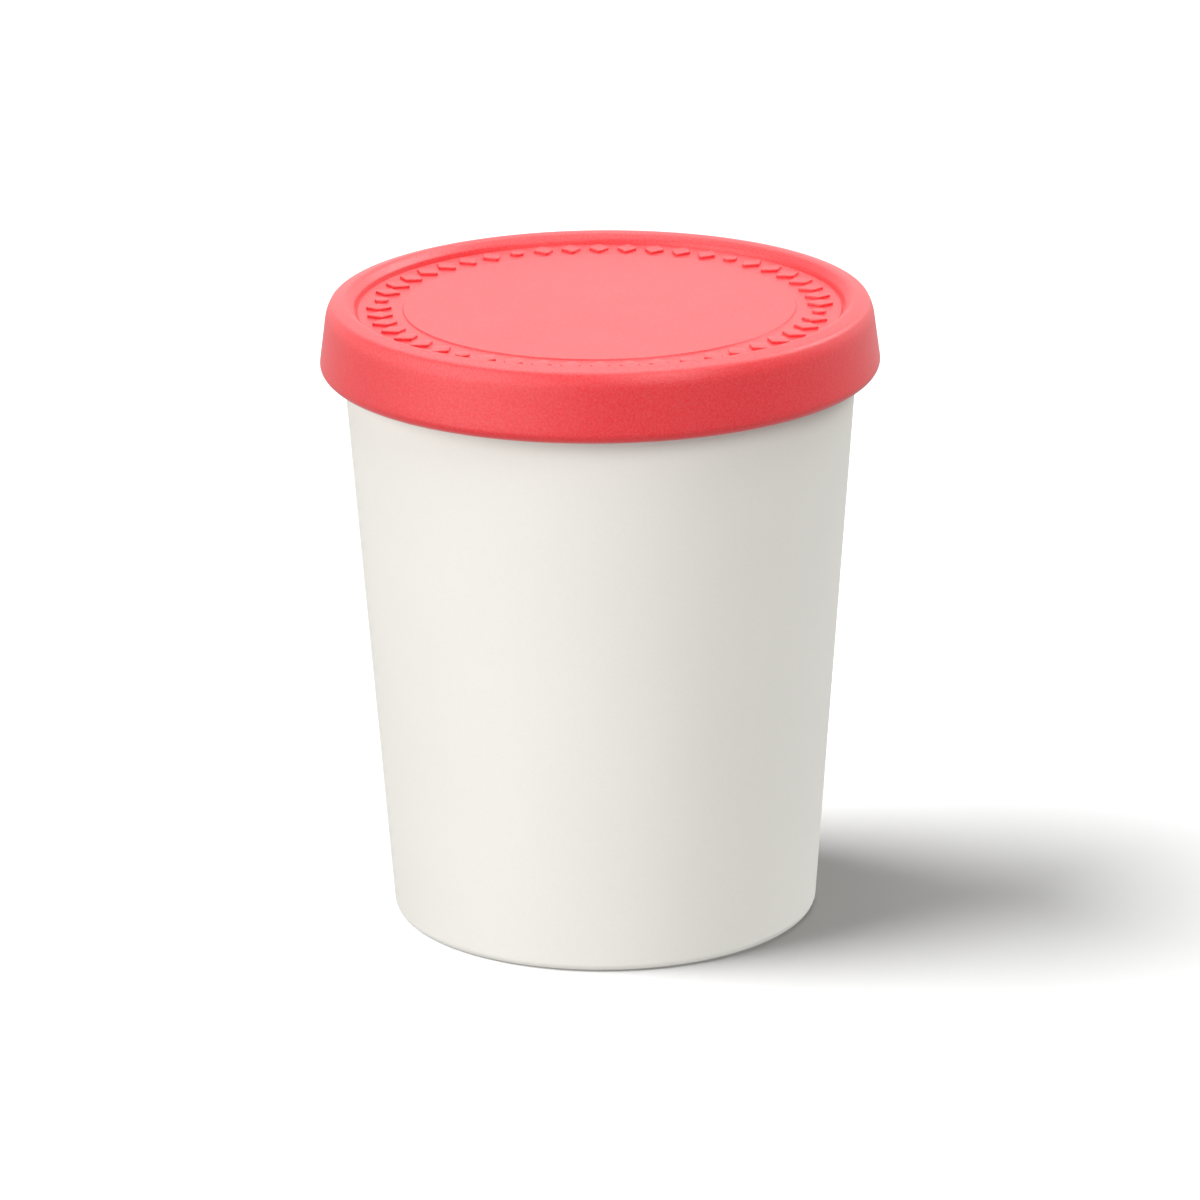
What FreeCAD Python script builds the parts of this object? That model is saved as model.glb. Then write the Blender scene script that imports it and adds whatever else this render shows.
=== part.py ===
import FreeCAD, Part
import math
import os

# A reusable ice cream tub, shut: a tapered plastic beaker and a stretch-on silicone lid.
# Millimetres, +Z up. The origin is the centre of the foot, on the surface the tub stands on.
# Nothing shows what is inside, so the beaker is left solid up to just under the lid.

# --- Beaker ---------------------------------------------------------------------------
TUB_HEIGHT = 147.2          # foot to the top of the rim
FOOT_RADIUS = 50.5          # outer wall, carried straight down to the foot plane
MOUTH_RADIUS = 61.3         # outer wall, carried straight up to the top of the rim
FOOT_EDGE_RADIUS = 2.0      # rounding between the wall and the foot
FOOT_RING_WIDTH = 5.5       # ring that the beaker stands on, measured in from the wall
BASE_RECESS = 1.8           # how far the base is set up inside that ring
RECESS_SLOPE = 1.5          # how far the recess wall leans in over its height

LIP_REACH = 0.8             # how far the rim's lip stands out of the wall
LIP_HEIGHT = 3.0            # height of that lip
RIM_WALL = 2.2              # wall thickness at the mouth, without the lip
RIM_BEVEL = 0.6             # bevel of the rim's two top edges

# --- Lid ------------------------------------------------------------------------------
LID_CROWN = 2.8             # silicone over the beaker's rim
LID_FLOOR = 2.4             # silicone of the sunk middle
RIM_RISE = 2.6              # how far the raised rim stands above the sunk band
SKIRT_DEPTH = 17.0          # top of the lid to the hem of its skirt
SKIRT_WALL = 1.5            # skirt thickness at the top, outside the lip
SKIRT_FLARE = 2.3           # how far the skirt's outside widens down to the hem
HEM_WALL = 2.7              # skirt thickness at the hem
HEM_ROUNDING = 2.2          # hem's outer edge
HEM_BEVEL = 0.6             # hem's inner edge
CORNER_ROUNDING = 2.3       # outer shoulder, from skirt to rim
CREST_ROUNDING = 3.4        # inner shoulder, from rim to recess
CREST_WIDTH = 4.0           # outer shoulder corner to inner shoulder corner
RECESS_WALL_RUN = 2.6       # how far the recess wall leans in over its height
BAND_WIDTH = 11.0           # sunk band, from the recess wall in to the raised disc
DISC_RISE = 0.4             # how far that disc stands above the band
DISC_EDGE_RUN = 0.25        # lean of the disc's edge
PLUG_BEVEL = 1.0            # lower edge of the plug that sits in the mouth

GRIP_BEAD_HEIGHT = 2.4      # bead inside the skirt that holds under the beaker's lip
GRIP_BEAD_FLAT = 0.8        # height of the bead's flat tip

# --- Fit of the lid on the beaker -----------------------------------------------------
LID_CLEARANCE = 0.2         # lid to rim, inside and outside; their flat tops touch
CORE_GAP = 0.3              # closed core to the lid's underside

# --- Worked out from the sizes above --------------------------------------------------
LIP_RADIUS = MOUTH_RADIUS + LIP_REACH
LIP_BOTTOM = TUB_HEIGHT - LIP_HEIGHT
MOUTH_INNER_RADIUS = MOUTH_RADIUS - RIM_WALL
LID_TOP = TUB_HEIGHT + LID_CROWN
BAND_TOP = LID_TOP - RIM_RISE
LID_UNDERSIDE = BAND_TOP - LID_FLOOR
CORE_TOP = LID_UNDERSIDE - CORE_GAP
SHOULDER_RADIUS = LIP_RADIUS + LID_CLEARANCE + SKIRT_WALL
BAND_RADIUS = SHOULDER_RADIUS - CREST_WIDTH - RECESS_WALL_RUN
DISC_RADIUS = BAND_RADIUS - BAND_WIDTH


def wall_radius(height):
    """Outer radius of the beaker's straight, tapered wall."""
    return FOOT_RADIUS + (MOUTH_RADIUS - FOOT_RADIUS) * height / TUB_HEIGHT


def outline(corners):
    """Closed wire through corners (point, rounding), each corner rounded by a tangent arc."""
    edges = []
    starts, ends = [], []
    for i, (point, rounding) in enumerate(corners):
        back = (corners[i - 1][0] - point).normalize()
        ahead = (corners[(i + 1) % len(corners)][0] - point).normalize()
        half_angle = back.getAngle(ahead) / 2
        reach = rounding / math.tan(half_angle)
        start = point + back * reach
        end = point + ahead * reach
        if rounding:
            middle = (back + ahead).normalize()
            summit = point + middle * (rounding / math.sin(half_angle) - rounding)
            edges.append(Part.Arc(start, summit, end).toShape())
        starts.append(start)
        ends.append(end)
    for i in range(len(corners)):
        edges.append(Part.LineSegment(ends[i - 1], starts[i]).toShape())
    return Part.Wire(Part.__sortEdges__(edges))


def revolved(profile):
    """Solid of revolution about Z from corners (radius, height, rounding)."""
    corners = [(FreeCAD.Vector(radius, 0, height), rounding) for radius, height, rounding in profile]
    face = Part.Face(outline(corners))
    return face.revolve(FreeCAD.Vector(0, 0, 0), FreeCAD.Vector(0, 0, 1), 360)


def make_tub():
    """Beaker: tapered wall, foot ring round a recessed base, and a lipped rim round its core."""
    ring_inner = FOOT_RADIUS - FOOT_RING_WIDTH
    return revolved([
        (0, BASE_RECESS, 0),
        (ring_inner - RECESS_SLOPE, BASE_RECESS, 0),
        (ring_inner, 0, 0),
        (FOOT_RADIUS, 0, FOOT_EDGE_RADIUS),
        (wall_radius(LIP_BOTTOM), LIP_BOTTOM, 0),
        (LIP_RADIUS, LIP_BOTTOM, 0),
        (LIP_RADIUS, TUB_HEIGHT - RIM_BEVEL, 0),
        (LIP_RADIUS - RIM_BEVEL, TUB_HEIGHT, 0),
        (MOUTH_INNER_RADIUS + RIM_BEVEL, TUB_HEIGHT, 0),
        (MOUTH_INNER_RADIUS, TUB_HEIGHT - RIM_BEVEL, 0),
        (MOUTH_INNER_RADIUS, CORE_TOP, 0),
        (0, CORE_TOP, 0),
    ])


def make_lid():
    """Silicone lid: plug, skirt with its grip bead, raised rim, sunk band and raised disc."""
    plug_radius = MOUTH_INNER_RADIUS - LID_CLEARANCE
    socket_radius = LIP_RADIUS + LID_CLEARANCE
    bead_top = LIP_BOTTOM - LID_CLEARANCE
    bead_radius = wall_radius(bead_top) + LID_CLEARANCE
    bead_slope = (GRIP_BEAD_HEIGHT - GRIP_BEAD_FLAT) / 2
    hem = LID_TOP - SKIRT_DEPTH
    hem_radius = SHOULDER_RADIUS + SKIRT_FLARE
    return revolved([
        (0, LID_UNDERSIDE, 0),
        (plug_radius - PLUG_BEVEL, LID_UNDERSIDE, 0),
        (plug_radius, LID_UNDERSIDE + PLUG_BEVEL, 0),
        (plug_radius, TUB_HEIGHT, 0),
        (socket_radius, TUB_HEIGHT, 0),
        (socket_radius, bead_top, 0),
        (bead_radius, bead_top - bead_slope, 0),
        (bead_radius, bead_top - bead_slope - GRIP_BEAD_FLAT, 0),
        (socket_radius, bead_top - GRIP_BEAD_HEIGHT, 0),
        (hem_radius - HEM_WALL, hem + HEM_BEVEL, 0),
        (hem_radius - HEM_WALL + HEM_BEVEL, hem, 0),
        (hem_radius, hem, HEM_ROUNDING),
        (SHOULDER_RADIUS, LID_TOP, CORNER_ROUNDING),
        (SHOULDER_RADIUS - CREST_WIDTH, LID_TOP, CREST_ROUNDING),
        (BAND_RADIUS, BAND_TOP, 0),
        (DISC_RADIUS, BAND_TOP, 0),
        (DISC_RADIUS - DISC_EDGE_RUN, BAND_TOP + DISC_RISE, 0),
        (0, BAND_TOP + DISC_RISE, 0),
    ])


os.makedirs("parts", exist_ok=True)
for node, shape in {"tub": make_tub(), "lid": make_lid()}.items():
    shape.exportStep(f"parts/{node}.step")
    print(node, "valid:", shape.isValid(), "solids:", len(shape.Solids), "volume mm3:", round(shape.Volume))
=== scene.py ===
import math

import bmesh
import bpy
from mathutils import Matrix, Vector


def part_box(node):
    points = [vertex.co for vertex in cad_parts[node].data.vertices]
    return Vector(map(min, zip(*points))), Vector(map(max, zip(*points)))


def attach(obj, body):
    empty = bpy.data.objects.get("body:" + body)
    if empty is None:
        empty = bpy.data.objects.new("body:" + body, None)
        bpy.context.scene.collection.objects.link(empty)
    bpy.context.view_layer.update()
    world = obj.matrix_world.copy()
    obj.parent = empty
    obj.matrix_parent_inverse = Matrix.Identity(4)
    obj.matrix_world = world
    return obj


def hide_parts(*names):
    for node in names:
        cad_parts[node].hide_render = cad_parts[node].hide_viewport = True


# The looks of a shut ice cream tub: an off-white tapered tub under a coral silicone lid.
# Metres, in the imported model's frame: +Z up, the origin at the centre of the foot.

MM = 0.001

# --- Lid, in millimetres: sizes that the CAD lid has too ----------------------------------
SKIRT_FLARE = 2.3           # how far the skirt widens from the shoulder to the hem
HEM_WALL = 2.7              # skirt thickness at the hem
HEM_ROUNDING = 2.2          # hem's outer edge
CREST_WIDTH = 4.0           # outer shoulder corner to inner shoulder corner
RECESS_RUN = 2.6            # lean of the recess wall
RIM_RISE = 2.6              # rim above the sunk band
BAND_WIDTH = 11.0           # sunk band, from the recess wall in to the disc
DISC_RISE = 0.4             # disc above the sunk band
DISC_EDGE_RUN = 0.25        # lean of the disc's edge
CROWN = 2.8                 # silicone over the tub's rim
FLOOR = 2.4                 # silicone of the sunk middle
PLUG_RADIUS = 58.9          # plug that sits in the tub's mouth
SOCKET_RADIUS = 62.3        # inside of the skirt
BEAD_RADIUS = 61.27         # bead inside the skirt, under the tub's lip
BEAD_DEPTH = 6.0            # lid's top to the bead's top
BEAD_SLOPE = 0.8            # height of each of the bead's sloping sides
BEAD_FLAT = 0.8             # height of its flat tip

# --- Lid, in millimetres: softer edges that only the looks have ---------------------------
PLUG_ROUNDING = 0.8         # lower edge of the plug
BEAD_ROUNDING = 0.3
HEM_INNER_ROUNDING = 0.6
EASE_DEPTH = 3.1            # where the skirt eases into the rim, below the lid's top
EASE_ROUNDING = 8.0
RIM_EDGE_IN = 0.75          # rim's outer edge, in from the outer shoulder corner
RIM_EDGE_FALL = 0.65        # and below the lid's top
RIM_EDGE_ROUNDING = 1.9
CREST_OUTER_REACH = 0.4     # flat crest, out from the inner shoulder corner
CREST_OUTER_ROUNDING = 3.0
CREST_INNER_REACH = 0.6     # and in from it
CREST_INNER_ROUNDING = 2.0
WALL_BEND_OUT = 0.35        # bend low in the recess wall, out from the band's edge
WALL_BEND_RISE = 1.0        # and above the band
WALL_BEND_ROUNDING = 1.2
CREASE_WIDTH = 0.5          # crease round the foot of the recess wall
CREASE_DEPTH = 0.3
CREASE_ROUNDING = 0.1
DISC_FOOT_ROUNDING = 0.12
DISC_EDGE_ROUNDING = 0.15

# --- Moulded border, in millimetres -------------------------------------------------------
BORDER_GROUPS = 6           # runs of lozenges, each followed by a dot
MOTIFS_PER_GROUP = 8
LOZENGE_LENGTH = 6.2        # along the lid's radius
LOZENGE_WIDTH = 4.8
LOZENGE_ROUNDING = 0.7      # its four corners, seen from above
DOT_RADIUS = 1.7
DOT_SIDES = 32
BORDER_RISE = 0.7           # border above the sunk band
BORDER_ROOT = 0.3           # how far it reaches down into the band
BORDER_SOFTNESS = 0.3       # rounding of the border's top edges

# --- Colours, as linear red, green and blue -----------------------------------------------
CORAL = (0.72, 0.011, 0.019)
CORAL_POWDER = (0.0, 0.026, 0.024)      # what the palest grains add to it
OFF_WHITE = (0.84, 0.82, 0.76)

# --- Floor and camera ---------------------------------------------------------------------
FLOOR_REACH = 3.0           # metres from the middle to each side
FLOOR_GREY = 0.6            # the floor's colour to the camera
FLOOR_GLOW = 0.6            # the floor's brightness to the object, where 1 is white
CAMERA_ELEVATION = 17.945   # degrees
CAMERA_DISTANCE = 1.6036    # metres from the target
CAMERA_TARGET = (-0.575, 0, 75.19)      # millimetres
CAMERA_ROLL = -0.564        # degrees
CAMERA_LENS = 202.424       # millimetres, on the sensor below
SENSOR_WIDTH = 36

SHARP_ANGLE = 38            # degrees between faces from which an edge stays hard
LATHE_SEGMENTS = 256

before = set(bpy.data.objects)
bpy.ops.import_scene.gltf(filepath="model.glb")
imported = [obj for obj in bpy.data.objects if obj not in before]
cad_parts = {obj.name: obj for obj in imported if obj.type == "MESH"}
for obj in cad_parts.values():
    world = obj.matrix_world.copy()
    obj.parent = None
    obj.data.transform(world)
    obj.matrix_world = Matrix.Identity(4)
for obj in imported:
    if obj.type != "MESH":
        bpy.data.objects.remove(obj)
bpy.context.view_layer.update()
lid_low, lid_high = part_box("lid")

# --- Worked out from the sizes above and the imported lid, in millimetres -------------------
LID_TOP = lid_high.z / MM
HEM = lid_low.z / MM
BAND_TOP = LID_TOP - RIM_RISE
LEAN = math.atan(SKIRT_FLARE / ((lid_high.z - lid_low.z) / MM))
# the hem's corner before rounding stands out past the lid's widest point
HEM_RADIUS = lid_high.x / MM + HEM_ROUNDING * (math.tan(LEAN) + 1 / math.cos(LEAN) - 1)
SHOULDER_RADIUS = HEM_RADIUS - SKIRT_FLARE
CREST_RADIUS = SHOULDER_RADIUS - CREST_WIDTH
BAND_RADIUS = CREST_RADIUS - RECESS_RUN
DISC_RADIUS = BAND_RADIUS - BAND_WIDTH
BORDER_RADIUS = BAND_RADIUS - BAND_WIDTH / 2


# --- Small helpers ------------------------------------------------------------------------

def link(obj):
    """Puts a new object in the scene."""
    bpy.context.scene.collection.objects.link(obj)
    return obj


def mesh_object(name, bm):
    """Smooth-shaded object from a bmesh in millimetres, with its hard corners kept."""
    mesh = bpy.data.meshes.new(name)
    bmesh.ops.scale(bm, vec=(MM, MM, MM), verts=bm.verts)
    bmesh.ops.recalc_face_normals(bm, faces=bm.faces)
    bm.to_mesh(mesh)
    bm.free()
    mesh.shade_smooth()
    mesh.set_sharp_from_angle(angle=math.radians(SHARP_ANGLE))
    return link(bpy.data.objects.new(name, mesh))


def turned(vector, angle):
    """A 2D vector turned anticlockwise."""
    c, s = math.cos(angle), math.sin(angle)
    return Vector((vector.x * c - vector.y * s, vector.x * s + vector.y * c))


def rounded(corners, arc_step=math.radians(8), run_step=1.5):
    """Points round a closed outline through corners ((x, y), rounding).

    Each rounded corner is an arc, and the runs between them are cut at run_step.
    """
    arcs = []
    for i, (corner, rounding) in enumerate(corners):
        point = Vector(corner)
        back = (Vector(corners[i - 1][0]) - point).normalized()
        ahead = (Vector(corners[(i + 1) % len(corners)][0]) - point).normalized()
        if not rounding:
            arcs.append([point])
            continue
        half = back.angle(ahead) / 2
        centre = point + (back + ahead).normalized() * (rounding / math.sin(half))
        start = point + back * (rounding / math.tan(half)) - centre
        left_turn = back.x * ahead.y - back.y * ahead.x < 0
        sweep = (math.pi - 2 * half) * (1 if left_turn else -1)
        count = max(2, math.ceil(abs(sweep) / arc_step))
        arcs.append([centre + turned(start, sweep * k / count) for k in range(count + 1)])
    points = []
    for i, arc in enumerate(arcs):
        points += arc
        run = arcs[(i + 1) % len(arcs)][0] - arc[-1]
        count = max(1, math.ceil(run.length / run_step))
        points += [arc[-1] + run * (k / count) for k in range(1, count)]
    return points


def lathe(name, corners):
    """Solid of revolution about Z from a closed profile ((radius, height), rounding)."""
    bm = bmesh.new()
    angles = [math.tau * k / LATHE_SEGMENTS for k in range(LATHE_SEGMENTS)]
    rings = []
    for radius, height in rounded(corners):
        if radius < 1e-6:
            # one vertex on the axis, for the whole ring
            rings.append([bm.verts.new((0, 0, height))] * LATHE_SEGMENTS)
            continue
        spots = [(radius * math.cos(a), radius * math.sin(a), height) for a in angles]
        rings.append([bm.verts.new(spot) for spot in spots])
    for ring, following in zip(rings, rings[1:] + rings[:1]):
        for k in range(LATHE_SEGMENTS):
            j = (k + 1) % LATHE_SEGMENTS
            around = dict.fromkeys((ring[k], ring[j], following[j], following[k]))
            if len(around) > 2:
                bm.faces.new(around)
    # points between the two ends of the axis carry no face
    loose = [v for v in bm.verts if not v.link_faces]
    bmesh.ops.delete(bm, geom=loose, context="VERTS")
    return mesh_object(name, bm)


# --- Pieces -------------------------------------------------------------------------------

def make_lid():
    """Silicone lid without its border, from under its middle out, up and back in."""
    seat = LID_TOP - CROWN
    bead_top = LID_TOP - BEAD_DEPTH
    bead_foot = bead_top - 2 * BEAD_SLOPE - BEAD_FLAT
    ease_radius = SHOULDER_RADIUS + EASE_DEPTH * math.tan(LEAN)
    return lathe("lid_body", [
        ((0, BAND_TOP - FLOOR), 0),
        ((PLUG_RADIUS, BAND_TOP - FLOOR), PLUG_ROUNDING),
        ((PLUG_RADIUS, seat), 0),
        ((SOCKET_RADIUS, seat), 0),
        ((SOCKET_RADIUS, bead_top), 0),
        ((BEAD_RADIUS, bead_top - BEAD_SLOPE), BEAD_ROUNDING),
        ((BEAD_RADIUS, bead_top - BEAD_SLOPE - BEAD_FLAT), BEAD_ROUNDING),
        ((SOCKET_RADIUS, bead_foot), BEAD_ROUNDING),
        ((HEM_RADIUS - HEM_WALL, HEM), HEM_INNER_ROUNDING),
        ((HEM_RADIUS, HEM), HEM_ROUNDING),
        ((ease_radius, LID_TOP - EASE_DEPTH), EASE_ROUNDING),
        ((SHOULDER_RADIUS - RIM_EDGE_IN, LID_TOP - RIM_EDGE_FALL), RIM_EDGE_ROUNDING),
        ((CREST_RADIUS + CREST_OUTER_REACH, LID_TOP), CREST_OUTER_ROUNDING),
        ((CREST_RADIUS - CREST_INNER_REACH, LID_TOP), CREST_INNER_ROUNDING),
        ((BAND_RADIUS + WALL_BEND_OUT, BAND_TOP + WALL_BEND_RISE), WALL_BEND_ROUNDING),
        ((BAND_RADIUS, BAND_TOP - CREASE_DEPTH), CREASE_ROUNDING),
        ((BAND_RADIUS - CREASE_WIDTH, BAND_TOP), CREASE_ROUNDING),
        ((DISC_RADIUS, BAND_TOP), DISC_FOOT_ROUNDING),
        ((DISC_RADIUS - DISC_EDGE_RUN, BAND_TOP + DISC_RISE), DISC_EDGE_ROUNDING),
        ((0, BAND_TOP + DISC_RISE), 0),
    ])


def lozenge(inset):
    """Rounded lozenge, drawn in from the pad's outline by inset."""
    length, width = LOZENGE_LENGTH / 2, LOZENGE_WIDTH / 2
    side = math.hypot(length, width)
    # the corners before rounding stand out past the tips
    length += LOZENGE_ROUNDING * (side / width - 1) - inset * side / width
    width += LOZENGE_ROUNDING * (side / length - 1) - inset * side / length
    tips = [(length, 0), (0, width), (-length, 0), (0, -width)]
    corners = [(tip, LOZENGE_ROUNDING - inset) for tip in tips]
    # a step longer than the sides, so that they stay in one piece
    return rounded(corners, arc_step=math.radians(15), run_step=LOZENGE_LENGTH + LOZENGE_WIDTH)


def dot(inset):
    """Circle, drawn in from the pad's outline by inset."""
    start = Vector((DOT_RADIUS - inset, 0))
    return [turned(start, math.tau * k / DOT_SIDES) for k in range(DOT_SIDES)]


def add_pad(bm, outline, place):
    """Raised pad with a soft top edge; place maps (x, y, z) to the lid."""
    rows = [(0.0, -BORDER_ROOT)]
    for degrees in (0, 22.5, 45, 67.5, 90):
        a = math.radians(degrees)
        drop = BORDER_SOFTNESS * (1 - math.sin(a))
        rows.append((BORDER_SOFTNESS * (1 - math.cos(a)), BORDER_RISE - drop))
    rings = [[bm.verts.new(place(p.x, p.y, z)) for p in outline(inset)] for inset, z in rows]
    for ring, following in zip(rings, rings[1:]):
        for k in range(len(ring)):
            j = (k + 1) % len(ring)
            bm.faces.new((ring[k], ring[j], following[j], following[k]))
    bm.faces.new(rings[-1])
    bm.faces.new(reversed(rings[0]))


def make_border():
    """Runs of lozenges and dots round the sunk band, in one mesh."""
    bm = bmesh.new()
    places = BORDER_GROUPS * MOTIFS_PER_GROUP
    for number in range(places):
        angle = math.tau * number / places

        def place(x, y, z):
            spot = turned(Vector((BORDER_RADIUS + x, y)), angle)
            return spot.x, spot.y, BAND_TOP + z

        add_pad(bm, lozenge if (number + 1) % MOTIFS_PER_GROUP else dot, place)
    return mesh_object("lid_border", bm)


# --- Materials ----------------------------------------------------------------------------

class Nodes:
    """A node material with a Principled shader, and short ways to add and join nodes."""

    def __init__(self, name):
        self.material = bpy.data.materials.new(name)
        self.material.use_nodes = True
        self.tree = self.material.node_tree
        self.shader = self.tree.nodes["Principled BSDF"]
        self.place = self.tree.nodes.new("ShaderNodeTexCoord").outputs["Object"]

    def add(self, kind, **inputs):
        """New node, with a value or a socket for each named input."""
        node = self.tree.nodes.new(kind)
        for key, value in inputs.items():
            self.put(value, node.inputs[key.replace("_", " ")])
        return node

    def put(self, value, socket):
        """Joins an output to a socket, or sets the socket to a constant."""
        if isinstance(value, bpy.types.NodeSocket):
            self.tree.links.new(value, socket)
        else:
            socket.default_value = value

    def noise(self, size, detail=2.0):
        """Noise with features about size metres across."""
        node = self.add("ShaderNodeTexNoise", Vector=self.place, Scale=1 / size, Detail=detail)
        return node.outputs["Fac"]

    def ramp(self, value, low, high, start=0.3, end=0.7):
        """value mapped from start..end to low..high."""
        node = self.add("ShaderNodeMapRange", Value=value, From_Min=start, From_Max=end)
        node.inputs["To Min"].default_value = low
        node.inputs["To Max"].default_value = high
        return node.outputs["Result"]

    def shade(self, colour, factor):
        """colour times a varying factor."""
        node = self.tree.nodes.new("ShaderNodeVectorMath")
        node.operation = "SCALE"
        self.put(colour, node.inputs[0])
        self.put(factor, node.inputs["Scale"])
        return node.outputs[0]

    def plus(self, a, b):
        """Sum of two colours."""
        node = self.tree.nodes.new("ShaderNodeVectorMath")
        node.operation = "ADD"
        self.put(a, node.inputs[0])
        self.put(b, node.inputs[1])
        return node.outputs[0]

    def times(self, a, b):
        """Product of two numbers."""
        node = self.tree.nodes.new("ShaderNodeMath")
        node.operation = "MULTIPLY"
        self.put(a, node.inputs[0])
        self.put(b, node.inputs[1])
        return node.outputs[0]

    def bump(self, height, depth, normal=None):
        """Bump of the given depth in metres."""
        node = self.add("ShaderNodeBump", Height=height, Distance=depth, Strength=1.0)
        if normal is not None:
            self.put(normal, node.inputs["Normal"])
        return node.outputs["Normal"]


def silicone():
    """Soft matt coral silicone: pale powdery grain, faint mottling, a broad pale sheen."""
    m = Nodes("coral_silicone")
    grain = m.noise(0.45 * MM, 3.0)
    powder = m.noise(0.5 * MM, 1.0)
    mottle = m.noise(28 * MM, 2.0)
    factor = m.times(m.ramp(grain, 0.95, 1.05), m.ramp(mottle, 0.975, 1.02))
    coral = m.shade(CORAL, factor)
    pale = m.shade(CORAL_POWDER, m.ramp(powder, 0.0, 1.0, 0.35, 0.65))
    m.put(m.plus(coral, pale), m.shader.inputs["Base Color"])
    m.put(m.ramp(mottle, 0.43, 0.47), m.shader.inputs["Roughness"])
    m.shader.inputs["IOR"].default_value = 1.4
    m.shader.inputs["Coat Weight"].default_value = 1.0
    m.shader.inputs["Coat Roughness"].default_value = 0.45
    m.shader.inputs["Coat IOR"].default_value = 1.4
    fine = m.bump(grain, 0.045 * MM)
    surface = m.bump(m.noise(9 * MM, 1.0), 0.012 * MM, fine)
    m.put(surface, m.shader.inputs["Normal"])
    m.put(surface, m.shader.inputs["Coat Normal"])
    return m.material


def plastic():
    """Smooth matt off-white moulded plastic: barely visible speckle and flow."""
    m = Nodes("off_white_plastic")
    speckle = m.noise(0.7 * MM, 2.0)
    flow = m.noise(35 * MM, 1.0)
    factor = m.times(m.ramp(speckle, 0.99, 1.008), m.ramp(flow, 0.992, 1.006))
    m.put(m.shade(OFF_WHITE, factor), m.shader.inputs["Base Color"])
    m.put(m.ramp(flow, 0.42, 0.50), m.shader.inputs["Roughness"])
    m.shader.inputs["IOR"].default_value = 1.48
    m.put(m.bump(speckle, 0.008 * MM), m.shader.inputs["Normal"])
    return m.material


# --- The object ---------------------------------------------------------------------------

lid = make_lid()
border = make_border()
lid_finish = silicone()
for piece in (lid, border):
    piece.data.materials.append(lid_finish)
    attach(piece, "root")
    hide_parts("lid")

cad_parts["tub"].material_slots[0].material = plastic()


# --- Floor, light and camera --------------------------------------------------------------

def make_floor():
    """Floor in two parts, one for the camera and one for the object.

    The camera sees a grey floor that its own lamps bring to white, all but the shadow.
    The object sees an evenly glowing floor.
    """
    bm = bmesh.new()
    bmesh.ops.create_grid(bm, x_segments=1, y_segments=1, size=FLOOR_REACH)
    mesh = bpy.data.meshes.new("floor")
    bm.to_mesh(mesh)
    bm.free()
    floor = link(bpy.data.objects.new("floor", mesh))
    m = Nodes("floor_surface")
    m.tree.nodes.remove(m.shader)
    glow = m.add("ShaderNodeEmission", Color=(1, 1, 1, 1), Strength=FLOOR_GLOW)
    grey = m.add("ShaderNodeBsdfDiffuse", Color=(FLOOR_GREY, FLOOR_GREY, FLOOR_GREY, 1))
    rays = m.add("ShaderNodeLightPath")
    mix = m.add("ShaderNodeMixShader", Fac=rays.outputs["Is Camera Ray"])
    m.put(glow.outputs["Emission"], mix.inputs[1])
    m.put(grey.outputs["BSDF"], mix.inputs[2])
    m.put(mix.outputs["Shader"], m.tree.nodes["Material Output"].inputs["Surface"])
    floor.data.materials.append(m.material)
    return floor


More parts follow.
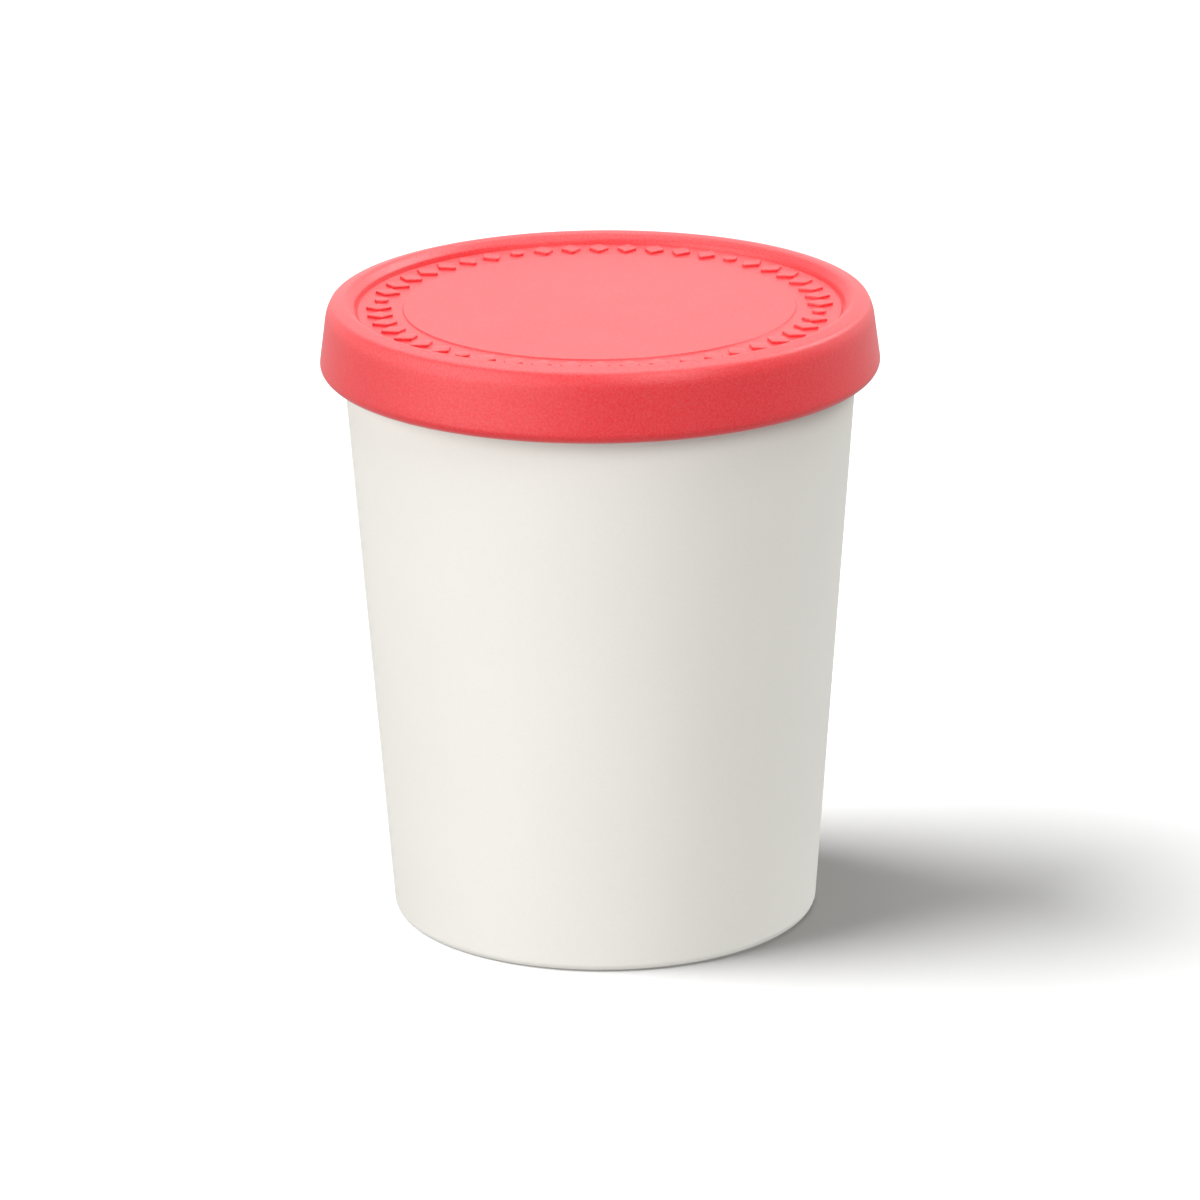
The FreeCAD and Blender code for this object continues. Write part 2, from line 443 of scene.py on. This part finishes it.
def make_world():
    """Surroundings that are white to the camera and in reflections, and light nothing else."""
    world = bpy.data.worlds.new("studio")
    bpy.context.scene.world = world
    world.use_nodes = True
    tree = world.node_tree
    rays = tree.nodes.new("ShaderNodeLightPath")
    seen = rays.outputs["Is Camera Ray"]
    for kind in ("Is Glossy Ray", "Is Transmission Ray"):
        either = tree.nodes.new("ShaderNodeMath")
        either.operation = "MAXIMUM"
        tree.links.new(seen, either.inputs[0])
        tree.links.new(rays.outputs[kind], either.inputs[1])
        seen = either.outputs[0]
    tree.nodes["Background"].inputs["Color"].default_value = (1, 1, 1, 1)
    tree.links.new(seen, tree.nodes["Background"].inputs["Strength"])


def lamp(name, azimuth, elevation, spread, level, lit):
    """Soft distant lamp on the collection lit. Azimuth 0 is the camera's side and -90 the left.

    At level 1 a white surface facing it turns out white.
    """
    data = bpy.data.lights.new(name, "SUN")
    data.angle = math.radians(spread)
    data.energy = math.pi * level
    obj = link(bpy.data.objects.new(name, data))
    a, e = math.radians(azimuth), math.radians(elevation)
    way = Vector((math.sin(a) * math.cos(e), -math.cos(a) * math.cos(e), math.sin(e)))
    obj.rotation_euler = way.to_track_quat("Z", "Y").to_euler()
    obj.light_linking.receiver_collection = lit


def make_camera():
    """Camera a little above the lid, looking down on it, at a long focal length."""
    elevation = math.radians(CAMERA_ELEVATION)
    way = Vector((0, -math.cos(elevation), math.sin(elevation)))
    data = bpy.data.cameras.new("camera")
    data.sensor_width = SENSOR_WIDTH
    data.lens = CAMERA_LENS
    camera = link(bpy.data.objects.new("camera", data))
    camera.location = Vector(CAMERA_TARGET) * MM + way * CAMERA_DISTANCE
    camera.rotation_euler = way.to_track_quat("Z", "Y").to_euler()
    camera.rotation_euler.rotate_axis("Z", math.radians(CAMERA_ROLL))
    bpy.context.scene.camera = camera


make_camera()
make_world()
on_tub = bpy.data.collections.new("lit_as_object")
on_floor = bpy.data.collections.new("lit_as_floor")
for piece in (lid, border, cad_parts["tub"]):
    on_tub.objects.link(piece)
on_floor.objects.link(make_floor())

# name, azimuth, elevation and spread in degrees, level, and what it lights
lamp("top", 0, 90, 60, 0.40, on_tub)
lamp("top_back", -165, 66, 60, 0.43, on_tub)
lamp("left", -75, 14, 60, 0.38, on_tub)
lamp("front_left", -45, 12, 60, 0.57, on_tub)
lamp("front_right", 30, 38, 30, 0.40, on_tub)
lamp("back_right", 120, 38, 30, 0.43, on_tub)
lamp("shadow", -90.3, 46.3, 56, 2.65, on_floor)
lamp("ceiling", 0, 90, 30, 0.50, on_floor)
bpy.context.scene.view_settings.view_transform = "Standard"
